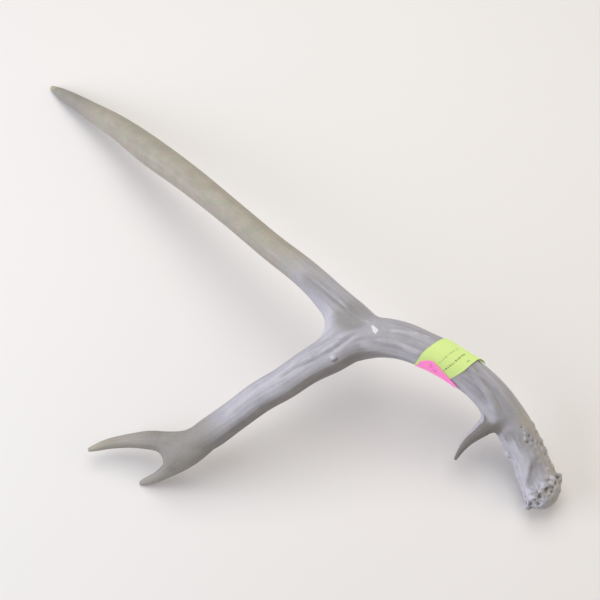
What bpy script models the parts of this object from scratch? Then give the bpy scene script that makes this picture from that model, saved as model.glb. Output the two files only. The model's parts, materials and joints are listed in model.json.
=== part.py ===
"""A shed antler of a mule deer, from the left side of the head, painted grey, with two paper stickers.

It lies as it comes to rest, concave side down, on the burr, the tip of the long tine and the lower
prong of the front branch. Metres, +Z up, with the origin on the floor under the middle of the antler.
Lengths below are in millimetres and MM turns them into metres. Places are measured from a point on
the floor near the middle, and MIDDLE is the antler's own middle there, which becomes the origin.
"""

import math
import random

import bmesh
import bpy
from mathutils import Matrix, Vector
from mathutils.kdtree import KDTree

MM = 0.001
MIDDLE = (-0.8, 3.3, 0)

# Stations along each branch: x, y, z of the middle of the bone, and its diameter
BEAM = [
    (201.5, -188, 17.8, 28),
    (199, -182, 18, 30),
    (194, -170, 20.5, 29),
    (189, -158, 26, 28.5),
    (177, -138, 38, 29),
    (162, -122, 52, 28.5),
    (147, -111, 64, 27),
    (125, -99, 75, 27.5),
    (107, -92, 81, 27),
    (89, -86, 84, 28.5),
    (70, -85, 86, 30),
    (53, -88.5, 86, 30),
]
FRONT_BRANCH = [
    (70, -85, 86, 30),
    (53, -88.5, 86, 30),
    (37, -97.5, 84, 28),
    (20, -106, 80, 25.5),
    (3, -116, 74, 24.5),
    (-15, -124, 66, 24),
    (-34, -135, 56, 23.5),
    (-54, -146, 45, 24),
    (-68, -151, 38, 21),
]
UPPER_PRONG = [
    (-54, -146, 45, 22),
    (-70, -149, 38, 20),
    (-85, -147, 32, 17),
    (-101, -145, 27, 14.5),
    (-117, -144, 22, 11),
    (-133, -145, 18, 8.4),
    (-142, -147, 16, 6.4),
    (-150, -149, 14, 3.2),
]
LOWER_PRONG = [
    (-48, -143, 48, 20),
    (-66, -156, 36, 19),
    (-78, -163, 27, 15),
    (-93, -169, 14, 9.2),
    (-101, -170.6, 7.2, 7),
    (-107, -171.2, 2.3, 5.4),
    (-110, -172, 0.9, 3.6),
]
LONG_TINE = [
    (70, -82, 86, 24),
    (54, -67.5, 86.5, 28),
    (41.5, -53.5, 86, 26.5),
    (28.5, -40, 85, 24),
    (14, -26, 83, 22),
    (-9, -4, 79, 21.5),
    (-41, 30, 71, 21.7),
    (-76, 67, 60, 23.5),
    (-113, 105, 45, 25),
    (-143, 137, 31, 21.5),
    (-174, 166, 17, 16.6),
    (-195, 184.5, 9, 12.6),
    (-206, 194, 4.6, 9.4),
    (-215, 202, 1.5, 4.8),
]
BROW_TINE = [
    (168, -132, 47, 22),
    (159, -136, 43, 16.5),
    (149, -142, 37.5, 11),
    (142, -147.5, 33, 8),
    (137, -153, 29, 5.6),
    (132.5, -160, 25, 2.6),
]
# The bone that fills the crotches of the main fork and of the end fork
FORK_WEB = [
    (43, -48, 87, 17),
    (44.5, -60, 88, 18),
    (46, -74, 88.5, 20),
    (42.5, -86, 88, 18),
    (33, -97, 86, 17),
]
END_WEB = [
    (-82.5, -149, 32, 13),
    (-83, -159.5, 31, 13),
    (-80.5, -166, 29, 12),
]

# The burr: the ring of knobs and the convex seal where the antler broke from the head
BURR_CENTRE = (198.9, -183.5, 17.6)
BURR_AXIS = (-0.62, 0.785, -0.08)
CORONET_RADIUS = 15.6
CORONET_KNOBS = 17
KNOB_RADIUS = (2.6, 3.9)
SEAL_RADIUS = 15.0
SEAL_BULGE = 11.5
SEAL_DEPTH = 13.0

# Pearling: how far along the beam from the burr, degrees round it from the top, and radius
PEARLS = [
    (7, -14, 2.3), (9, 38, 2.2), (10, 66, 2.6), (12, -42, 2.0), (15, 12, 2.1), (16, 88, 2.4),
    (20, 60, 2.9), (22, 28, 2.2), (24, -88, 2.2), (26, 82, 2.3), (29, 48, 2.6), (31, 5, 1.9),
    (33, 70, 2.8), (35, -75, 2.7), (38, 36, 2.3), (40, 92, 2.3), (42, 58, 2.8), (46, 22, 1.9),
    (48, 76, 2.6), (52, 46, 2.3), (55, 66, 2.4), (60, 88, 1.9), (62, 40, 1.8), (18, 150, 2.4),
    (30, -140, 2.3), (36, 130, 2.2), (47, 160, 2.0), (23, -115, 2.3), (52, -160, 1.8),
]
PEARL_SINK = 0.55

# Furrows that run along the beam: degrees round it from the top, width in degrees, depth
FURROWS = [
    (-62, 15, 0.5), (-28, 13, 0.9), (4, 12, 0.8), (31, 12, 0.9), (58, 11, 0.7),
    (95, 16, 0.7), (140, 18, 0.6), (-110, 16, 0.5), (-155, 18, 0.6),
]
FURROW_FROM = 24
FURROW_TO = 165
FURROW_FADE = 26
FURROW_TWIST = 0.22

# Lone knobs: on the front branch beside the fork, and below the brow tine
LONE_KNOBS = [
    ((39.5, -104.5, 95), 2.6),
    ((172.5, -158, 31), 3.0),
]

# Where the antler is parted into its pieces: a point on the bone, the way the branch runs, and half
# of the width of the saw cut's plane
SAW_KERF = 0.3
SAW_CUTS = {
    "long_tine": ((24, -36.5, 84.5), (-0.68, 0.72, -0.1), 19),
    "front_branch": ((24, -104, 81), (-0.84, -0.48, -0.24), 19),
    "upper_prong": ((-99, -145.2, 27.5), (-0.95, 0.06, -0.29), 10),
    "lower_prong": ((-90, -168, 17), (-0.72, -0.29, -0.62), 9),
    "brow_tine": ((157, -137, 42), (-0.78, -0.46, -0.4), 12.5),
}
# A point inside each piece, by which it is told from the others once the cuts are made
PIECE_MIDDLE = {
    "beam": (125, -99, 75),
    "long_tine": (-76, 67, 60),
    "front_branch": (-15, -124, 66),
    "upper_prong": (-110, -144.5, 24.5),
    "lower_prong": (-98, -170.3, 10),
    "brow_tine": (145, -145, 35),
}

# The stickers, each by two facing edges of its paper: distance along the beam from the burr, degrees
# round it from the top, and height over the bone
STICKERS = {
    "green_sticker": (
        [
            (159, -100, 0.4), (159, -54, 0.4), (157.5, -24, 0.4),
            (152.5, 14, 0.6), (146, 54, 1.4), (139, 92, 1.6),
        ],
        [
            (131, -100, 0.4), (129, -54, 0.4), (126.5, -24, 0.5),
            (124, 8, 0.7), (119.5, 42, 0.9), (110, 84, 1.4),
        ],
    ),
    "pink_sticker": (
        [(157.5, -66, 1.1), (151, -48, 1.1), (141, -60, 1.1), (132, -70, 1.1), (121, -84, 1.1)],
        [(157.5, -134, 1.1), (150, -136, 1.1), (141, -138, 1.1), (132, -140, 1.1), (120, -140, 1.1)],
    ),
}
STICKER_THICKNESS = 0.3
STICKER_ROWS = 13
STICKER_COLUMNS = 7

# Mesh sizes
VOXEL = 1.3
PATH_STEP = 3.0
TRIANGLES = 7400
FORK_SMOOTHING = 34
FORKS = [
    ((42, -76, 87), 32, 1.0),
    ((70, -77, 86), 20, 1.0),
    ((-82, -157, 31), 26, 0.8),
    ((162, -131, 46), 17, 0.8),
]

PAINT = ("paint_grey", (0.38, 0.38, 0.42), 0.62)
GREEN_PAPER = ("green_paper", (0.72, 0.93, 0.38), 0.6)
PINK_PAPER = ("pink_paper", (0.9, 0.2, 0.52), 0.6)


def clear_scene():
    for item in list(bpy.data.objects):
        bpy.data.objects.remove(item, do_unlink=True)


def new_collection(name):
    collection = bpy.data.collections.new(name)
    bpy.context.scene.collection.children.link(collection)
    return collection


def new_material(name, colour, roughness):
    material = bpy.data.materials.new(name)
    material.use_nodes = True
    shader = material.node_tree.nodes["Principled BSDF"]
    shader.inputs["Base Color"].default_value = (*colour, 1.0)
    shader.inputs["Roughness"].default_value = roughness
    shader.inputs["Metallic"].default_value = 0.0
    return material


def smooth_path(stations, step=PATH_STEP):
    """Points and radii, in metres, on the Catmull-Rom curve through the stations."""
    rows = [Vector(row) for row in stations]
    rows = [2 * rows[0] - rows[1], *rows, 2 * rows[-1] - rows[-2]]
    path = []
    for before, start, end, after in zip(rows, rows[1:], rows[2:], rows[3:]):
        steps = max(1, round((end.xyz - start.xyz).length / step))
        for index in range(steps):
            path.append(catmull_rom(before, start, end, after, index / steps))
    path.append(rows[-2])
    return [(row.xyz * MM, row.w / 2 * MM) for row in path]


def catmull_rom(before, start, end, after, t):
    straight = (end - before) * t
    second = (2 * before - 5 * start + 4 * end - after) * t ** 2
    third = (3 * start - before - 3 * end + after) * t ** 3
    return (2 * start + straight + second + third) / 2


def branch(name, stations):
    """A tapering round branch: a curve through its stations, made a closed mesh."""
    path = smooth_path(stations)
    curve = bpy.data.curves.new(name, "CURVE")
    curve.dimensions = "3D"
    curve.bevel_depth = 1.0
    curve.bevel_resolution = 6
    curve.use_fill_caps = True
    spline = curve.splines.new("POLY")
    spline.points.add(len(path) - 1)
    for point, (place, radius) in zip(spline.points, path):
        point.co = (*place, 1.0)
        point.radius = radius
    guide = bpy.data.objects.new(name, curve)
    bpy.context.scene.collection.objects.link(guide)
    mesh = as_mesh(guide)
    bpy.data.objects.remove(guide, do_unlink=True)
    return mesh


def as_mesh(source):
    """The evaluated mesh of an object, in world space, with its doubles merged."""
    view = bpy.context.evaluated_depsgraph_get()
    mesh = bpy.data.meshes.new_from_object(source.evaluated_get(view))
    mesh.transform(source.matrix_world)
    work = bmesh.new()
    work.from_mesh(mesh)
    bmesh.ops.remove_doubles(work, verts=work.verts, dist=0.00001)
    work.to_mesh(mesh)
    work.free()
    return mesh


def ball(centre, radii, turn=None):
    """A closed ball with three radii, for a knob, a pearl or the seal."""
    work = bmesh.new()
    bmesh.ops.create_uvsphere(work, u_segments=16, v_segments=10, radius=1.0)
    shape = (turn or Matrix.Identity(4)) @ Matrix.Diagonal((*radii, 1.0))
    bmesh.ops.transform(work, matrix=Matrix.Translation(centre) @ shape, verts=work.verts)
    mesh = bpy.data.meshes.new("ball")
    work.to_mesh(mesh)
    work.free()
    return mesh


def beam_frames():
    """Places along the beam from the burr: distance, point, radius, direction, up and side."""
    path = smooth_path(BEAM, step=1.0)
    frames = []
    distance = 0.0
    for index, (place, radius) in enumerate(path):
        ahead = path[min(index + 1, len(path) - 1)][0]
        behind = path[max(index - 1, 0)][0]
        along = (ahead - behind).normalized()
        up = (Vector((0, 0, 1)) - along * along.z).normalized()
        if index:
            distance += (place - path[index - 1][0]).length
        frames.append((distance, place, radius, along, up, up.cross(along)))
    return frames


def frame_at(frames, distance):
    """The place along the beam at a distance from the burr, between the two nearest frames."""
    after = next((index for index, frame in enumerate(frames) if frame[0] > distance), 1)
    after = max(1, after)
    start, end = frames[after - 1], frames[after]
    share = (distance - start[0]) / (end[0] - start[0])
    return tuple(one + (other - one) * share for one, other in zip(start, end))


def around(frame, degrees):
    """The direction out of the beam at an angle from its top; positive is the outer curve's side."""
    angle = math.radians(degrees)
    return frame[4] * math.cos(angle) - frame[5] * math.sin(angle)


def burr_turn():
    """The turn that carries +Z onto the burr's axis, which points up the beam."""
    return Vector(BURR_AXIS).to_track_quat("Z", "Y").to_matrix().to_4x4()


def coronet():
    """The ring of unlike knobs round the foot of the beam."""
    rng = random.Random(4)
    knobs = []
    for index in range(CORONET_KNOBS):
        angle = math.tau / CORONET_KNOBS * (index + rng.uniform(-0.25, 0.25))
        radius = rng.uniform(*KNOB_RADIUS) * MM
        out = Vector((math.cos(angle), math.sin(angle), 0)) * CORONET_RADIUS
        out.z = rng.uniform(-1.5, 2.0)
        place = Vector(BURR_CENTRE) * MM + (burr_turn() @ out) * MM
        knobs.append(ball(place, (radius, radius, radius)))
    return knobs


def seal():
    """The rounded foot of the antler, a dome that looks away from the beam."""
    axis = Vector(BURR_AXIS).normalized()
    centre = (Vector(BURR_CENTRE) + axis * (SEAL_DEPTH - SEAL_BULGE)) * MM
    return ball(centre, (SEAL_RADIUS * MM, SEAL_RADIUS * MM, SEAL_DEPTH * MM), burr_turn())


def pearls(frames):
    knobs = []
    for distance, degrees, radius in PEARLS:
        frame = frame_at(frames, distance * MM)
        depth = frame[2] - PEARL_SINK * radius * MM
        size = radius * MM
        turn = frame[3].to_track_quat("Z", "Y").to_matrix().to_4x4()
        knobs.append(ball(frame[1] + around(frame, degrees) * depth, (size, size, size * 1.4), turn))
    return knobs


def joined(name, meshes):
    """One object from many overlapping closed meshes."""
    work = bmesh.new()
    for mesh in meshes:
        work.from_mesh(mesh)
    result = bpy.data.meshes.new(name)
    work.to_mesh(result)
    work.free()
    item = bpy.data.objects.new(name, result)
    bpy.context.scene.collection.objects.link(item)
    return item


def apply_modifiers(item):
    mesh = as_mesh(item)
    item.modifiers.clear()
    item.data = mesh


def fuse(item):
    """Grows the overlapping shapes together into one closed skin."""
    remesh = item.modifiers.new("fuse", "REMESH")
    remesh.mode = "VOXEL"
    remesh.voxel_size = VOXEL * MM
    remesh.adaptivity = 0.0
    apply_modifiers(item)


def soften_forks(item):
    """Fillets the crotches, where the branches run into each other, and lightly the rest."""
    group = item.vertex_groups.new(name="forks")
    for vertex in item.data.vertices:
        weight = 0.0
        for centre, reach, strength in FORKS:
            near = 1 - (vertex.co - Vector(centre) * MM).length / (reach * MM)
            weight = max(weight, strength * min(1.0, max(0.0, near * 2)))
        if weight > 0:
            group.add([vertex.index], weight, "REPLACE")
    fillet = item.modifiers.new("fillet", "SMOOTH")
    fillet.vertex_group = "forks"
    fillet.factor = 0.6
    fillet.iterations = FORK_SMOOTHING
    skin = item.modifiers.new("skin", "SMOOTH")
    skin.factor = 0.5
    skin.iterations = 2
    apply_modifiers(item)


def ease(value):
    value = min(1.0, max(0.0, value))
    return value * value * (3 - 2 * value)


def carve_furrows(item, frames):
    """Long shallow furrows along the beam that turn slowly round it."""
    tree = KDTree(len(frames))
    for index, frame in enumerate(frames):
        tree.insert(frame[1], index)
    tree.balance()
    for vertex in item.data.vertices:
        index = tree.find(vertex.co)[1]
        distance, place, radius, along, up, side = frames[index]
        out = vertex.co - place
        if out.length > radius * 1.35:
            continue
        mm_along = distance / MM
        fade = ease((mm_along - FURROW_FROM) / FURROW_FADE)
        fade *= ease((FURROW_TO - mm_along) / FURROW_FADE)
        degrees = math.degrees(math.atan2(-out.dot(side), out.dot(up)))
        depth = furrow_depth(degrees + FURROW_TWIST * (mm_along - 90))
        vertex.co = vertex.co - out.normalized() * (depth * fade * MM)


def furrow_depth(degrees):
    depth = 0.0
    for middle, width, deepest in FURROWS:
        apart = abs((degrees - middle + 180) % 360 - 180)
        depth = max(depth, deepest * math.exp(-((apart / width) ** 2)))
    return depth


def thin_out(item):
    """Fewer triangles, kept where the bone curves most."""
    count = sum(len(face.vertices) - 2 for face in item.data.polygons)
    decimate = item.modifiers.new("thin_out", "DECIMATE")
    decimate.ratio = TRIANGLES / count
    decimate.use_collapse_triangulate = True
    apply_modifiers(item)


def wear_flat(item):
    """The three places that touch the floor are worn flat on it."""
    work = bmesh.new()
    work.from_mesh(item.data)
    geometry = [*work.verts, *work.edges, *work.faces]
    cut = bmesh.ops.bisect_plane(
        work, geom=geometry, plane_co=(0, 0, 0), plane_no=(0, 0, 1), clear_inner=True
    )
    edges = [part for part in cut["geom_cut"] if isinstance(part, bmesh.types.BMEdge)]
    bmesh.ops.holes_fill(work, edges=edges)
    bmesh.ops.triangulate(work, faces=work.faces)
    work.to_mesh(item.data)
    work.free()


def saw_blades(collection):
    """Thin plates, one across the root of each branch."""
    blades = []
    for name, (point, direction, half) in SAW_CUTS.items():
        work = bmesh.new()
        bmesh.ops.create_cube(work, size=1.0)
        size = Matrix.Diagonal((2 * half * MM, 2 * half * MM, SAW_KERF * MM, 1.0))
        bmesh.ops.transform(work, matrix=size, verts=work.verts)
        mesh = bpy.data.meshes.new(name + "_saw")
        work.to_mesh(mesh)
        work.free()
        blade = bpy.data.objects.new(name + "_saw", mesh)
        blade.location = Vector(point) * MM
        blade.rotation_euler = Vector(direction).to_track_quat("Z", "Y").to_euler()
        blade.hide_render = True
        blade.display_type = "WIRE"
        collection.objects.link(blade)
        blades.append(blade)
    return blades


def saw_apart(item, collection):
    for blade in saw_blades(collection):
        cut = item.modifiers.new(blade.name, "BOOLEAN")
        cut.operation = "DIFFERENCE"
        cut.solver = "EXACT"
        cut.object = blade
    bpy.context.view_layer.update()
    apply_modifiers(item)


def loose_bodies(mesh):
    """The separate bodies of a mesh, each as a mesh of its own."""
    work = bmesh.new()
    work.from_mesh(mesh)
    work.verts.ensure_lookup_table()
    body_of = {}
    count = 0
    for vertex in work.verts:
        if vertex.index in body_of:
            continue
        body_of[vertex.index] = count
        front = [vertex]
        while front:
            for edge in front.pop().link_edges:
                for other in edge.verts:
                    if other.index not in body_of:
                        body_of[other.index] = count
                        front.append(other)
        count += 1
    bodies = []
    for body in range(count):
        part = work.copy()
        others = [vertex for vertex in part.verts if body_of[vertex.index] != body]
        bmesh.ops.delete(part, geom=others, context="VERTS")
        result = bpy.data.meshes.new("body")
        part.to_mesh(result)
        part.free()
        bodies.append(result)
    work.free()
    return bodies


def nearest_gap(mesh, point):
    return min((vertex.co - point).length for vertex in mesh.vertices)


def name_pieces(bodies, collection, material):
    """Each piece is the body that lies closest round its middle."""
    for name, middle in PIECE_MIDDLE.items():
        mesh = min(bodies, key=lambda body: nearest_gap(body, Vector(middle) * MM))
        mesh.name = name
        mesh.materials.append(material)
        mesh.shade_smooth()
        mesh.set_sharp_from_angle(angle=math.radians(50))
        piece = bpy.data.objects.new(name, mesh)
        collection.objects.link(piece)


def edge_point(edge, share):
    """The point at a share of the way along an edge that is given by evenly shared points."""
    rows = [Vector(row) for row in edge]
    rows = [2 * rows[0] - rows[1], *rows, 2 * rows[-1] - rows[-2]]
    place = share * (len(edge) - 1)
    index = min(int(place), len(edge) - 2)
    return catmull_rom(*rows[index:index + 4], place - index)


def sticker(name, frames, collection, material):
    """A paper label bent round the beam: a grid laid over the bone, then given its thickness."""
    first, second = STICKERS[name]
    work = bmesh.new()
    bmesh.ops.create_grid(work, x_segments=STICKER_COLUMNS, y_segments=STICKER_ROWS, size=0.5)
    for vertex in work.verts:
        share = vertex.co.y + 0.5
        start = edge_point(first, share)
        end = edge_point(second, share)
        distance, degrees, gap = start.lerp(end, vertex.co.x + 0.5)
        frame = frame_at(frames, distance * MM)
        vertex.co = frame[1] + around(frame, degrees) * (frame[2] + gap * MM)
    bmesh.ops.recalc_face_normals(work, faces=work.faces)
    mesh = bpy.data.meshes.new(name)
    work.to_mesh(mesh)
    work.free()
    mesh.materials.append(material)
    label = bpy.data.objects.new(name, mesh)
    collection.objects.link(label)
    paper = label.modifiers.new("paper", "SOLIDIFY")
    paper.thickness = STICKER_THICKNESS * MM
    paper.offset = 0.0
    paper.use_even_offset = True


def main():
    clear_scene()
    antler = new_collection("shed_antler")
    saws = new_collection("saws")
    paint = new_material(*PAINT)
    frames = beam_frames()

    shapes = [
        branch("beam", BEAM),
        branch("front_branch", FRONT_BRANCH),
        branch("upper_prong", UPPER_PRONG),
        branch("lower_prong", LOWER_PRONG),
        branch("long_tine", LONG_TINE),
        branch("brow_tine", BROW_TINE),
        branch("fork_web", FORK_WEB),
        branch("end_web", END_WEB),
        seal(),
        *coronet(),
        *pearls(frames),
        *[ball(Vector(centre) * MM, [radius * MM] * 3) for centre, radius in LONE_KNOBS],
    ]
    bone = joined("antler", shapes)
    fuse(bone)
    soften_forks(bone)
    carve_furrows(bone, frames)
    thin_out(bone)
    wear_flat(bone)
    saw_apart(bone, saws)
    bodies = loose_bodies(bone.data)
    bpy.data.objects.remove(bone, do_unlink=True)
    name_pieces(bodies, antler, paint)
    for name, paper in (("pink_sticker", PINK_PAPER), ("green_sticker", GREEN_PAPER)):
        sticker(name, frames, antler, new_material(*paper))
    for piece in antler.objects:
        piece.data.transform(Matrix.Translation(Vector(MIDDLE) * -MM))


main()
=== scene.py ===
"""A shed mule deer antler painted grey, with two paper stickers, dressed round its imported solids.

The antler is one piece of bone. Its branches are drawn as tapering tubes through measured stations,
grown together, eased at the forks, then worked like clay: furrows, ridges, pearling and the rough
coronet are pushed into the skin. Stations and strokes are in millimetres from a point on the floor
near the middle. MIDDLE is the antler's own middle there, which is the origin of the finished part.
"""

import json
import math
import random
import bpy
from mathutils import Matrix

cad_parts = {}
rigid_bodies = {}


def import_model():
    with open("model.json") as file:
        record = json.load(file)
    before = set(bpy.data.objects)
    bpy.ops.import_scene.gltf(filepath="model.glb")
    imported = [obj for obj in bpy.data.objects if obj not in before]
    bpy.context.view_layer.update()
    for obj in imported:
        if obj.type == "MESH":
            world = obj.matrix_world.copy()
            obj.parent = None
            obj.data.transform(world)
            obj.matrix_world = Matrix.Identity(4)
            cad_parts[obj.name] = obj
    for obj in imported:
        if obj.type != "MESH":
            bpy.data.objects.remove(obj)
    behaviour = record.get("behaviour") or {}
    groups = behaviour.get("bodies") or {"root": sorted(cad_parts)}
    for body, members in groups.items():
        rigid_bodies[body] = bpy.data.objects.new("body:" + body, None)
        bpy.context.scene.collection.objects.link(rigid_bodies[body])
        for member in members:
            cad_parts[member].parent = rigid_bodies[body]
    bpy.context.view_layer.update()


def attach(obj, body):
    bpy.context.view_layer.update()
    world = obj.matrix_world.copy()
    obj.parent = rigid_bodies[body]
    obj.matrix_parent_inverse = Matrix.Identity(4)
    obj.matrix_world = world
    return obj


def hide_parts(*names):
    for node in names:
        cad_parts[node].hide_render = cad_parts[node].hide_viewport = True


bl_info = {
    "name": "Shed antler",
    "version": (1, 0, 0),
    "blender": (4, 5, 0),
    "location": "3D View > Sidebar > Antler",
    "description": "Models a grey painted shed antler with paper stickers on a pale floor",
    "category": "Add Mesh",
}

from collections import namedtuple

import bpy
import numpy as np
from mathutils import Matrix, Vector, noise
from mathutils.kdtree import KDTree

for old in list(bpy.data.objects):
    bpy.data.objects.remove(old, do_unlink=True)

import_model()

MM = 0.001
MIDDLE = Vector((-0.8, 3.3, 0.0))

# Stations along each branch: x, y, z of the middle of the bone, and its diameter
BEAM = [
    (201.5, -188, 17.8, 24.5),
    (199, -182, 18, 30),
    (194, -170, 20.5, 29),
    (189, -158, 26, 28.5),
    (177, -138, 38, 29),
    (162, -122, 52, 28.5),
    (147, -111, 64, 27),
    (125, -99, 75, 27.5),
    (107, -92, 81, 27),
    (89, -86, 84, 28.5),
    (70, -85, 86, 29.4),
    (53, -88.5, 86, 29.4),
]
FRONT_BRANCH = BEAM[-2:] + [
    (37, -97.5, 84, 28),
    (20, -106, 80, 25.5),
    (3, -116, 74, 24.5),
    (-15, -124, 66, 24),
    (-34, -135, 56, 23.5),
    (-54, -146, 45, 24),
    (-68, -151.5, 38, 19.5),
]
UPPER_PRONG = [
    (-54, -146, 45, 22),
    (-70, -149.8, 37.5, 18.4),
    (-85, -147.8, 31.5, 15.6),
    (-101, -145, 27, 14.5),
    (-117, -144, 22, 11),
    (-133, -145, 18, 8.4),
    (-142, -147, 16, 6.4),
    (-150, -149, 14, 3.2),
]
LOWER_PRONG = [
    (-48, -143, 48, 20),
    (-66, -156, 36, 19),
    (-78, -163, 27, 15),
    (-93, -169, 14, 9.2),
    (-101, -170.6, 7.2, 7),
    (-107, -171.2, 2.3, 5.4),
    (-110, -172, 0.9, 3.6),
]
LONG_TINE = [
    (70, -82, 86, 21),
    (53, -68.5, 86.5, 26.5),
    (40, -55, 86, 25.2),
    (28, -40.8, 85, 23),
    (14, -26, 83, 22),
    (-9, -4, 79, 21.5),
    (-41, 30, 71, 21.7),
    (-76, 67, 60, 23.5),
    (-113, 105, 45, 25),
    (-143, 137, 31, 21.5),
    (-174, 166, 17, 16.6),
    (-195, 184.5, 9, 12.6),
    (-206, 194, 4.6, 9.4),
    (-214.6, 201.6, 1.5, 4.6),
]
BROW_TINE = [
    (168, -132, 47, 22),
    (159, -136, 43, 16.5),
    (149.6, -142.4, 37.5, 10.4),
    (142, -147.5, 33, 8),
    (137, -153, 29, 5.6),
    (132.5, -160, 25, 2.6),
]
# The bone that fills the crotches of the main fork and of the end fork
FORK_WEB = [
    (32, -48, 87, 16),
    (37.6, -58.8, 87.5, 17),
    (41.8, -68, 88, 18.4),
    (42.9, -76, 88, 19),
    (39.8, -86, 87.5, 18),
    (31, -95.5, 85.5, 16),
]
END_WEB = [
    (-94, -148.5, 28, 9),
    (-89, -151.5, 30, 11.6),
    (-84.5, -155.8, 31, 13),
    (-82.3, -161, 30.5, 13),
    (-84, -166.5, 26.5, 12.2),
]
END_PALM = [
    (-70, -147, 38, 16),
    (-74, -155, 35.5, 17),
    (-77, -162, 31, 15),
]
BRANCHES = {
    "beam": BEAM,
    "front_branch": FRONT_BRANCH,
    "upper_prong": UPPER_PRONG,
    "lower_prong": LOWER_PRONG,
    "long_tine": LONG_TINE,
    "brow_tine": BROW_TINE,
    "fork_web": FORK_WEB,
    "end_web": END_WEB,
    "end_palm": END_PALM,
}
# The steps, in millimetres, of a branch's tube and of the middle line that marks are measured from,
# and how near two of a tube's points are merged
TUBE_STEP = 3.0
GUIDE_STEP = 1.0
WELD = 0.01

# The burr: the convex seal where the antler broke from the head, and the ring of knobs round it. A
# knob is shifted by up to a share of their spacing, and lifted along the axis
BURR_CENTRE = Vector((198.9, -183.5, 17.6))
BURR_AXIS = Vector((-0.62, 0.785, -0.08)).normalized()
CORONET_RADIUS = 15.6
CORONET_KNOBS = 21
KNOB_SEED = 4
KNOB_SHIFT = 0.25
KNOB_RADIUS = (1.8, 3.2)
KNOB_LIFT = (-1.5, 2.0)
SEAL_RADIUS = 15.0
SEAL_BULGE = 11.5
SEAL_DEPTH = 13.0

# Where the skin is eased into a fillet: centre, reach and strength
EASED_FORKS = [
    ((40, -74, 87), 30, 1.0),
    ((69, -74, 86), 26, 1.0),
    ((-84, -156, 30), 27, 1.0),
    ((162, -131, 46), 19, 0.9),
]
EASE_FACTOR = 0.6
EASE_STEPS = 230
# The whole skin is then eased lightly: factor and steps
LIGHT_EASE = (0.5, 6)
# The fillets shrink the bone a little; this much is given back
EASE_SWELL = 0.75

# Furrows that run along the beam's far and under sides: degrees round it from the top, width in
# degrees and depth
FURROWS = [(62, 10, 0.5), (95, 14, 0.6), (140, 16, 0.6), (-110, 14, 0.4), (-155, 16, 0.6)]
# Where they start and are full, and where they end; degrees that they turn round the beam for each
# millimetre, and the place where they lie as given
FURROW_START = (24, 50)
FURROW_END = (165, 139)
FURROW_TWIST = 0.22
FURROW_MIDDLE = 90
# A point that is more than this many radii out doesn't belong to the beam
FURROW_REACH = 1.35
BEAM_REACH = 1.4

# Strokes of the modelling tool: points on the skin, height (below zero is a groove) and width. They
# rise and run out over a share of their length
STROKE_FADE = 0.22
FORK_STROKES = [
    # light ridge from the long tine down to the beam, with a dark line under it
    ([(14, -32, 92), (25.4, -42.6, 96.2), (32.2, -49.2, 97.4), (38.9, -56.3, 98.4), (44.8, -62.1, 99.3),
      (49.2, -66.1, 99.8), (53.7, -71, 99.7), (59.6, -74.9, 99.2), (69, -79.5, 99.2)], 0.5, 1.5),
    ([(20, -41.5, 94), (32.9, -53.1, 96.8), (38.9, -59.4, 97.8), (44, -64, 98.8), (49.2, -68.4, 99.4),
      (53.7, -73.2, 99.2), (62, -78.5, 98.9)], -0.6, 1.7),
    # fainter lines beside them on the web
    ([(32, -57, 95), (38.9, -63, 96.6), (44.7, -69.5, 98.2), (49.9, -74.5, 98.3), (57, -80.5, 98.8)],
     -0.3, 1.3),
    ([(36, -62, 94), (40.3, -68.5, 96.1), (44.6, -75.2, 97.9), (50, -81.5, 98.1)], -0.25, 1.3),
    # crease where the shoulder of the beam runs down the front branch, and a smaller one inside it
    ([(66, -84.5, 100.8), (57.7, -87, 100.8), (53.3, -88.9, 100.6), (48.7, -92.3, 100), (42.8, -96.2, 98.9),
      (36.8, -100.1, 97.5), (31, -102.3, 96.2), (23.5, -105.8, 93.9), (14.6, -109.1, 91.3),
      (5, -113.5, 88), (-8, -120.5, 82)], -1.3, 1.9),
    ([(47, -88.5, 99.2), (42.3, -90.5, 98.4), (37.9, -93.3, 97.6), (33.4, -96.1, 96.6), (29, -99.6, 95.5),
      (22, -104.3, 93)], -0.8, 1.5),
    ([(44, -91.8, 98.6), (40, -94.6, 98), (36.5, -97.4, 97.3)], 0.55, 1.7),
    # shoulder of the beam below the crease
    ([(96, -91, 96), (84, -90, 98), (71, -89.8, 99.9), (63.7, -89.3, 100.5), (57.7, -90.1, 100.6),
      (53.2, -92.3, 100.1), (48.7, -95.9, 99.1), (42.8, -99.8, 97.9), (34, -104.5, 96)], 0.4, 3.0),
    # low swellings on the top of the beam beside the label
    ([(59.1, -95.6, 98.3), (71.1, -92.5, 98.6), (83.8, -92.9, 96.8), (92.1, -96.2, 93.8),
      (103, -99.5, 91)], 0.3, 2.6),
    ([(78, -83.5, 99.4), (89.2, -85, 98.1), (96.8, -85.6, 96.6), (104.4, -86.9, 95), (112, -88.5, 92.7)],
     0.3, 2.4),
    ([(74, -88, 99.8), (84, -88.2, 98.6), (94, -90.5, 96), (106, -93.5, 93)], -0.4, 2.2),
    # a faint dent along the front branch
    ([(12, -112, 88), (-4, -119.5, 81), (-20, -127, 73), (-38, -137, 62)], -0.3, 3.0),
]
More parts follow.
